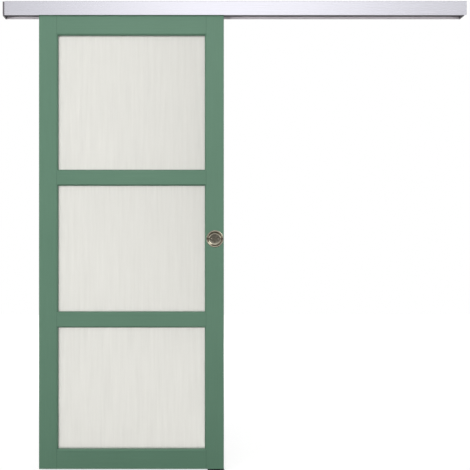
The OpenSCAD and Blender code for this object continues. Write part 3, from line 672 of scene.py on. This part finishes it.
# %% Fasteners on their spots
def fasteners(name, tree, sizes_mm, spots, turns, material, slot, node):
    """Puts a fastener of these sizes on each spot, and lets the set stand for its CAD node."""
    mesh = bpy.data.meshes.new(name)
    mesh.from_pydata(spots, [], [])
    turn = mesh.attributes.new("turn", "FLOAT_VECTOR", "POINT")
    turn.data.foreach_set("vector", [c for vector in turns for c in vector])
    piece = plain_object(name, mesh, material)
    nodes = piece.modifiers.new("fasteners", "NODES")
    nodes.node_group = tree
    sockets = {s.name: s.identifier for s in tree.interface.items_tree if s.in_out == "INPUT"}
    for size, value in sizes_mm.items():
        nodes[sockets[size]] = value * MM
    nodes[sockets["Finish"]] = material
    applied(piece)
    hand_in(piece, "leaf", slot, node)
    print(name, "spots:", len(spots), "faces:", len(piece.data.polygons))


print("fastener tools ready")

# %% [markdown]
# ## Pan-head screws
# A pan head is a disc whose top falls away towards its edge, so the disc's upper points are pushed down
# by a power of their distance from the axis. A Boolean cuts the cross recess, one bar after the other,
# and the shank is a long cone that narrows to its point.

# %% Pan head
HEAD_SIDES = 32
HEAD_RINGS = 6
HEAD_FALL = -0.5
HEAD_CURVE = 2.4


def pan_head(tree, head_d, head_h):
    radius = add(tree, "ShaderNodeMath", {0: head_d, 1: 0.5}, operation="MULTIPLY").outputs[0]
    disc = add(
        tree,
        "GeometryNodeMeshCylinder",
        {"Vertices": HEAD_SIDES, "Fill Segments": HEAD_RINGS, "Radius": radius, "Depth": head_h},
    )
    where = add(tree, "GeometryNodeInputPosition").outputs[0]
    axes = add(tree, "ShaderNodeSeparateXYZ", {0: where}).outputs
    flat = add(tree, "ShaderNodeCombineXYZ", {"X": axes["X"], "Y": axes["Y"]}).outputs[0]
    reach = add(tree, "ShaderNodeVectorMath", {0: flat}, operation="LENGTH").outputs["Value"]
    share = add(tree, "ShaderNodeMath", {0: reach, 1: radius}, operation="DIVIDE").outputs[0]
    curve = add(tree, "ShaderNodeMath", {0: share, 1: HEAD_CURVE}, operation="POWER").outputs[0]
    fall = add(tree, "ShaderNodeMath", {0: head_h, 1: HEAD_FALL}, operation="MULTIPLY").outputs[0]
    drop = add(tree, "ShaderNodeMath", {0: curve, 1: fall}, operation="MULTIPLY").outputs[0]
    offset = add(tree, "ShaderNodeCombineXYZ", {"Z": drop}).outputs[0]
    on_top = add(tree, "FunctionNodeCompare", {0: axes["Z"], 1: 0.0}, operation="GREATER_THAN").outputs[0]
    crowned = add(
        tree,
        "GeometryNodeSetPosition",
        {"Geometry": disc.outputs["Mesh"], "Selection": on_top, "Offset": offset},
    )
    return crowned.outputs[0]


print("pan head of", HEAD_SIDES, "sides")

# %% Cross recess and shank
RECESS_LENGTH = 0.56
RECESS_WIDTH = 0.13
RECESS_RISE = 0.4
SHANK_SIDES = 16
POINT_SHARE = 0.3


def cross_recess(tree, head, head_d, head_h):
    long = add(tree, "ShaderNodeMath", {0: head_d, 1: RECESS_LENGTH}, operation="MULTIPLY").outputs[0]
    wide = add(tree, "ShaderNodeMath", {0: head_d, 1: RECESS_WIDTH}, operation="MULTIPLY").outputs[0]
    rise = add(tree, "ShaderNodeMath", {0: head_h, 1: RECESS_RISE}, operation="MULTIPLY").outputs[0]
    lift = add(tree, "ShaderNodeCombineXYZ", {"Z": rise}).outputs[0]
    for x, y in ((long, wide), (wide, long)):
        size = add(tree, "ShaderNodeCombineXYZ", {"X": x, "Y": y, "Z": head_h}).outputs[0]
        bar = add(tree, "GeometryNodeMeshCube", {"Size": size}).outputs["Mesh"]
        blade = add(tree, "GeometryNodeTransform", {"Geometry": bar, "Translation": lift}).outputs[0]
        cut = add(
            tree,
            "GeometryNodeMeshBoolean",
            {"Mesh 1": head, "Mesh 2": blade},
            operation="DIFFERENCE",
            solver="EXACT",
        )
        head = cut.outputs["Mesh"]
    return head


def pointed_shank(tree, head_h, diameter, length):
    radius = add(tree, "ShaderNodeMath", {0: diameter, 1: 0.5}, operation="MULTIPLY").outputs[0]
    point = add(tree, "ShaderNodeMath", {0: radius, 1: POINT_SHARE}, operation="MULTIPLY").outputs[0]
    cone = add(
        tree,
        "GeometryNodeMeshCone",
        {"Vertices": SHANK_SIDES, "Radius Top": radius, "Radius Bottom": point, "Depth": length},
    )
    under_head = add(tree, "ShaderNodeMath", {0: head_h, 1: -0.5}, operation="MULTIPLY").outputs[0]
    below = add(tree, "ShaderNodeMath", {0: under_head, 1: length}, operation="SUBTRACT").outputs[0]
    down = add(tree, "ShaderNodeCombineXYZ", {"Z": below}).outputs[0]
    shank = add(tree, "GeometryNodeTransform", {"Geometry": cone.outputs["Mesh"], "Translation": down})
    return shank.outputs[0]


print("recess and shank ready")

# %% Screw tree
PULL_SCREW = {"Head Diameter": 6.0, "Head Height": 1.6, "Shank Diameter": 3.0, "Shank Length": 10.0}
HANGER_SCREW = {"Head Diameter": 8.0, "Head Height": 2.4, "Shank Diameter": 4.0, "Shank Length": 35.0}


def screw_tree(sizes):
    tree, given = start_tree("pan_head_screws", sizes)
    head_d, head_h = given["Head Diameter"], given["Head Height"]
    head = cross_recess(tree, pan_head(tree, head_d, head_h), head_d, head_h)
    shank = pointed_shank(tree, head_h, given["Shank Diameter"], given["Shank Length"])
    copy_to_points(tree, given, head, shank)
    return tree


screws = screw_tree(PULL_SCREW)
print("screw tree:", len(screws.nodes), "nodes")

# %% [markdown]
# ## Where the screws go
# Two screws hold each pull to the stile, side by side in front and one above the other behind,
# so that they don't meet in the middle. Four more hold each hanger plate near its corners.
# No fitter lines up the recesses, so every screw gets a turn of its own.

# %% Screws in the pulls and the hanger plates
PULL_SCREW_PITCH = 32.0
HANGER_SCREW_EDGE = 7.0
FRONT_TURNS = (0.35, -0.6)
BACK_TURNS = (0.2, 0.9)
HANGER_TURN_STEP = 0.4

half_pitch = PULL_SCREW_PITCH / 2 * MM
head_depth = (CUP_DEPTH - PULL_SCREW["Head Height"] / 2) * MM
front_y, back_y = leaf_face_y + head_depth, leaf_back_y - head_depth
spots = [(pull_centre.x + s * half_pitch, front_y, pull_centre.z) for s in (-1, 1)]
spots += [(pull_centre.x, back_y, pull_centre.z + s * half_pitch) for s in (-1, 1)]
turns = [(math.pi / 2, turn, 0) for turn in FRONT_TURNS] + [(-math.pi / 2, turn, 0) for turn in BACK_TURNS]
fasteners(
    "pull_screws_cross_head", screws, PULL_SCREW, spots, turns, steel, "polished_steel", "pull_screws"
)

plates = [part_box(node) for node in ("left_hanger_plate", "right_hanger_plate")]
edge = HANGER_SCREW_EDGE * MM
spots = []
for low, high in plates:
    height = high.z + HANGER_SCREW["Head Height"] / 2 * MM
    corners = [(x, y) for x in (low.x + edge, high.x - edge) for y in (low.y + edge, high.y - edge)]
    spots += [(x, y, height) for x, y in corners]
turns = [(0, 0, HANGER_TURN_STEP * i) for i in range(len(spots))]
fasteners(
    "hanger_screws_cross_head", screws, HANGER_SCREW, spots, turns, zinc, "zinc_steel", "hanger_screws"
)

# %% [markdown]
# ## Threaded hanging bolts
# Each bolt has its hexagon head in a pocket under its plate, and its thread runs up through the lock nut
# into the trolley. A thread is a ridge that climbs one pitch in each turn. So the side of a finely divided
# cylinder is pushed inwards by a zigzag of its height in pitches less its angle in turns:
# that is a helix without any curve, and it closes on itself round the bar.

# %% Threaded bar
THREAD_SIDES = 32
THREAD_RINGS = 162
THREAD_DEPTH = -1.2


def threaded_bar(tree, diameter, length, pitch):
    radius = add(tree, "ShaderNodeMath", {0: diameter, 1: 0.5}, operation="MULTIPLY").outputs[0]
    bar = add(
        tree,
        "GeometryNodeMeshCylinder",
        {"Vertices": THREAD_SIDES, "Side Segments": THREAD_RINGS, "Radius": radius, "Depth": length},
    )
    where = add(tree, "GeometryNodeInputPosition").outputs[0]
    axes = add(tree, "ShaderNodeSeparateXYZ", {0: where}).outputs
    angle = add(tree, "ShaderNodeMath", {0: axes["Y"], 1: axes["X"]}, operation="ARCTAN2").outputs[0]
    turns = add(tree, "ShaderNodeMath", {0: angle, 1: 2 * math.pi}, operation="DIVIDE").outputs[0]
    climb = add(tree, "ShaderNodeMath", {0: axes["Z"], 1: pitch}, operation="DIVIDE").outputs[0]
    phase = add(tree, "ShaderNodeMath", {0: climb, 1: turns}, operation="SUBTRACT").outputs[0]
    zigzag = add(tree, "ShaderNodeMath", {0: phase, 1: 0.5}, operation="PINGPONG").outputs[0]
    depth = add(tree, "ShaderNodeMath", {0: pitch, 1: THREAD_DEPTH}, operation="MULTIPLY").outputs[0]
    sink = add(tree, "ShaderNodeMath", {0: zigzag, 1: depth}, operation="MULTIPLY").outputs[0]
    flat = add(tree, "ShaderNodeCombineXYZ", {"X": axes["X"], "Y": axes["Y"]}).outputs[0]
    outwards = add(tree, "ShaderNodeVectorMath", {0: flat}, operation="NORMALIZE").outputs[0]
    inwards = add(tree, "ShaderNodeVectorMath", {0: outwards, "Scale": sink}, operation="SCALE").outputs[0]
    thread = add(tree, "GeometryNodeSetPosition", {"Geometry": bar.outputs["Mesh"], "Offset": inwards})
    rolled = add(
        tree,
        "GeometryNodeSetShadeSmooth",
        {"Geometry": thread.outputs[0], "Selection": bar.outputs["Side"]},
    )
    half_length = add(tree, "ShaderNodeMath", {0: length, 1: 0.5}, operation="MULTIPLY").outputs[0]
    up = add(tree, "ShaderNodeCombineXYZ", {"Z": half_length}).outputs[0]
    return add(tree, "GeometryNodeTransform", {"Geometry": rolled.outputs[0], "Translation": up}).outputs[0]


print("thread rings:", THREAD_RINGS)

# %% Hanging bolts
HEX_SIDES = 6

leaf_top_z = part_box("left_stile")[1].z
bolt_low, bolt_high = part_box("hanging_bolts")
HANGING_BOLT = {
    "Head Width": (bolt_high.y - bolt_low.y) / MM,
    "Head Height": (leaf_top_z - bolt_low.z) / MM,
    "Thread Diameter": 8.0,
    "Thread Length": (bolt_high.z - leaf_top_z) / MM,
    "Pitch": 1.25,
}


def bolt_tree(sizes):
    tree, given = start_tree("threaded_bolts", sizes)
    shank = threaded_bar(tree, given["Thread Diameter"], given["Thread Length"], given["Pitch"])
    width, height = given["Head Width"], given["Head Height"]
    corner = add(tree, "ShaderNodeMath", {0: width, 1: math.sqrt(3)}, operation="DIVIDE").outputs[0]
    hexagon = add(
        tree, "GeometryNodeMeshCylinder", {"Vertices": HEX_SIDES, "Radius": corner, "Depth": height}
    )
    half_head = add(tree, "ShaderNodeMath", {0: height, 1: -0.5}, operation="MULTIPLY").outputs[0]
    down = add(tree, "ShaderNodeCombineXYZ", {"Z": half_head}).outputs[0]
    head = add(tree, "GeometryNodeTransform", {"Geometry": hexagon.outputs["Mesh"], "Translation": down})
    copy_to_points(tree, given, head.outputs[0], shank)
    return tree


bolts = bolt_tree(HANGING_BOLT)
spots = [((low.x + high.x) / 2, (low.y + high.y) / 2, leaf_top_z) for low, high in plates]
turns = [(0, 0, 0)] * len(spots)
fasteners("hanging_bolts_threaded", bolts, HANGING_BOLT, spots, turns, zinc, "zinc_steel", "hanging_bolts")

# %% [markdown]
# ## The floor
# The photograph is a cut-out on white, and the door's shadow on a pale floor grounds it in other views.
# A Light Path node tells the shader which kind of ray has arrived, so each kind can get its own floor.
# The camera sees it glow: less near the door, where it keeps the soft shadow, and plain white far off.
# Glass shows it white, polished metal mirrors it dark near the door and pale far away,
# and all other light bounces off it only weakly, so that the paint keeps its colour.

# %% Floor
FLOOR_SIZE = 14.0
FLOOR_DROP = 0.0003
FLOOR_RANGE = {"From Min": 1.6, "From Max": 3.6}
FLOOR_GLOW = {"To Min": 0.6, "To Max": 1.0}
FLOOR_MIRRORED = 0.95
FLOOR_BEHIND_GLASS = 1.0
FLOOR_WHITE = 0.5
FLOOR_BOUNCE = 0.2


def pale_floor_material():
    material = bpy.data.materials.new("pale_studio_floor")
    material.use_nodes = True
    tree = material.node_tree
    tree.nodes.clear()
    ray = add(tree, "ShaderNodeLightPath").outputs
    place = add(tree, "ShaderNodeTexCoord").outputs["Object"]
    away = add(tree, "ShaderNodeVectorMath", {0: place}, operation="LENGTH").outputs["Value"]
    seen = add(tree, "ShaderNodeMapRange", {"Value": away, **FLOOR_RANGE, **FLOOR_GLOW}).outputs[0]
    far = add(tree, "ShaderNodeMapRange", {"Value": away, **FLOOR_RANGE, "To Max": FLOOR_MIRRORED}).outputs[0]
    glow = 0.0
    for kind, strength in (("Glossy", far), ("Transmission", FLOOR_BEHIND_GLASS), ("Camera", seen)):
        is_kind = ray[f"Is {kind} Ray"]
        glow = add(tree, "ShaderNodeMix", {"Factor": is_kind, "A": glow, "B": strength}).outputs["Result"]
    shade = FLOOR_BOUNCE
    for kind, grey in (("Transmission", 0.0), ("Camera", FLOOR_WHITE)):
        is_kind = ray[f"Is {kind} Ray"]
        shade = add(tree, "ShaderNodeMix", {"Factor": is_kind, "A": shade, "B": grey}).outputs["Result"]
    matt = add(tree, "ShaderNodeBsdfDiffuse", {"Color": shade}).outputs[0]
    white = add(tree, "ShaderNodeEmission", {"Color": (1, 1, 1, 1), "Strength": glow}).outputs[0]
    both = add(tree, "ShaderNodeAddShader", {0: matt, 1: white}).outputs[0]
    add(tree, "ShaderNodeOutputMaterial", {"Surface": both})
    return material


mesh = bpy.data.meshes.new("studio_floor")
half = FLOOR_SIZE / 2
corners = [(-half, -half), (half, -half), (half, half), (-half, half)]
mesh.from_pydata([(x, y, -FLOOR_DROP) for x, y in corners], [], [(0, 1, 2, 3)])
plain_object("studio_floor", mesh, pale_floor_material())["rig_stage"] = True
print("floor:", FLOOR_SIZE, "m wide")

# %% [markdown]
# ## The world
# To the camera the world is plain white, and the paint gets a plain, even light from it.
# Polished metal needs something to mirror, so glossy rays find a room drawn by their direction:
# a softbox in front, a dim ceiling, a window high on the right, a dark band at the horizon
# with the pale floor below, and white on the wall side.
# Rays through the glass find white too, but darker on the right, because the panes in the photograph
# darken towards that side.

# %% What polished metal mirrors
WALL_SIDE = 1.0
DARK_ROOM = 0.2
CEILING = 0.42
SOFTBOX_X = 0.05
SOFTBOX = {"From Min": 0.05, "From Max": 0.3, "To Min": 1.42, "To Max": 0.66}
CEILING_RISE = {"From Min": 0.5, "From Max": 0.7}
HORIZON = {"From Min": 0.02, "From Max": 0.12}
FLOOR_FALL = {"From Min": -0.08, "From Max": -0.2, "To Min": DARK_ROOM, "To Max": FLOOR_MIRRORED}
WINDOW_TOWARDS = Vector((0.66, -0.5, 0.56)).normalized()
WINDOW = {"From Min": 0.94, "From Max": 0.98, "To Max": 3.4}
WALL_RISE = {"From Min": -0.3, "From Max": 0.3}


def mirrored_room(tree, direction, axes):
    level = add(tree, "ShaderNodeMath", {0: axes["X"], 1: SOFTBOX_X}, operation="SUBTRACT").outputs[0]
    aside = add(tree, "ShaderNodeMath", {0: level}, operation="ABSOLUTE").outputs[0]
    softbox = add(
        tree, "ShaderNodeMapRange", {"Value": aside, **SOFTBOX}, interpolation_type="SMOOTHSTEP"
    ).outputs[0]
    above = add(tree, "ShaderNodeMapRange", {"Value": axes["Z"], **CEILING_RISE}).outputs[0]
    upper = add(tree, "ShaderNodeMix", {"Factor": above, "A": softbox, "B": CEILING}).outputs["Result"]
    overhead = add(tree, "ShaderNodeMapRange", {"Value": axes["Z"], **HORIZON}).outputs[0]
    below = add(tree, "ShaderNodeMapRange", {"Value": axes["Z"], **FLOOR_FALL}).outputs[0]
    room = add(tree, "ShaderNodeMix", {"Factor": overhead, "A": below, "B": upper}).outputs["Result"]
    facing = add(tree, "ShaderNodeVectorMath", {0: direction, 1: WINDOW_TOWARDS}, operation="DOT_PRODUCT")
    window = add(tree, "ShaderNodeMapRange", {"Value": facing.outputs["Value"], **WINDOW}).outputs[0]
    lit = add(tree, "ShaderNodeMath", {0: room, 1: window}, operation="ADD").outputs[0]
    behind = add(tree, "ShaderNodeMapRange", {"Value": axes["Y"], **WALL_RISE}).outputs[0]
    return add(tree, "ShaderNodeMix", {"Factor": behind, "A": lit, "B": WALL_SIDE}).outputs["Result"]


print("window towards:", [round(c, 2) for c in WINDOW_TOWARDS])

# %% World
AMBIENT = 0.36
WHITE = 1.0
BEHIND_GLASS = {"From Min": 0.03, "From Max": 0.1, "To Min": WHITE, "To Max": 0.4}


def studio_world():
    world = bpy.data.worlds.new("studio_world")
    world.use_nodes = True
    tree = world.node_tree
    tree.nodes.clear()
    ray = add(tree, "ShaderNodeLightPath").outputs
    direction = add(tree, "ShaderNodeTexCoord").outputs["Generated"]
    axes = add(tree, "ShaderNodeSeparateXYZ", {0: direction}).outputs
    room = mirrored_room(tree, direction, axes)
    dusk = add(tree, "ShaderNodeMapRange", {"Value": axes["X"], **BEHIND_GLASS}).outputs[0]
    level = AMBIENT
    for kind, strength in (("Glossy", room), ("Transmission", dusk), ("Camera", WHITE)):
        is_kind = ray[f"Is {kind} Ray"]
        level = add(tree, "ShaderNodeMix", {"Factor": is_kind, "A": level, "B": strength}).outputs["Result"]
    sky = add(tree, "ShaderNodeBackground", {"Color": (1, 1, 1, 1), "Strength": level}).outputs[0]
    add(tree, "ShaderNodeOutputWorld", {"Surface": sky})
    return world


bpy.context.scene.world = studio_world()
print("world strength:", AMBIENT)

# %% [markdown]
# ## The lamps
# A high softbox lights the leaf, and two strips, lower than the track, reach the wall plate under the fascia.
# Two more lamps stand on the wall side, so that the door's back is lit in other views.
# The world already gives metal and glass what they show, so reflections and glass don't see the lamps.

# %% Lamps
LAMPS = {
    "high_softbox": {"place": (-0.6, -5.0, 3.4), "aim": (-0.45, 0, 1.4), "size": (2.4, 1.0), "watts": 85},
    "left_strip": {"place": (-3.2, -4.2, 1.45), "aim": (-0.3, 0, 1.4), "size": (1.8, 0.3), "watts": 88},
    "right_strip": {"place": (3.0, -4.2, 1.45), "aim": (0.2, 0, 1.4), "size": (1.8, 0.3), "watts": 48},
    "wall_side_high": {"place": (-0.9, 4.6, 3.2), "aim": (-0.4, 0, 1.2), "size": (2.4, 1.0), "watts": 110},
    "wall_side_low": {"place": (2.6, 3.8, 1.2), "aim": (-0.2, 0, 1.0), "size": (1.8, 0.6), "watts": 60},
}
for name, facts in LAMPS.items():
    lamp = bpy.data.lights.new(name, "AREA")
    lamp.shape = "RECTANGLE"
    lamp.size, lamp.size_y = facts["size"]
    lamp.energy = facts["watts"]
    holder = bpy.data.objects.new(name, lamp)
    holder.location = facts["place"]
    aim = Vector(facts["aim"]) - Vector(facts["place"])
    holder.rotation_euler = aim.to_track_quat("-Z", "Y").to_euler()
    holder.visible_glossy = False
    holder.visible_transmission = False
    bpy.context.scene.collection.objects.link(holder)
bpy.context.scene.view_settings.view_transform = "Standard"
print("lamps:", list(LAMPS))

# %% [markdown]
# ## Measure
# The dressed door should keep the size of the solids, so the box of the dressed pieces is measured.

# %% Sizes and finish
low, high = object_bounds()
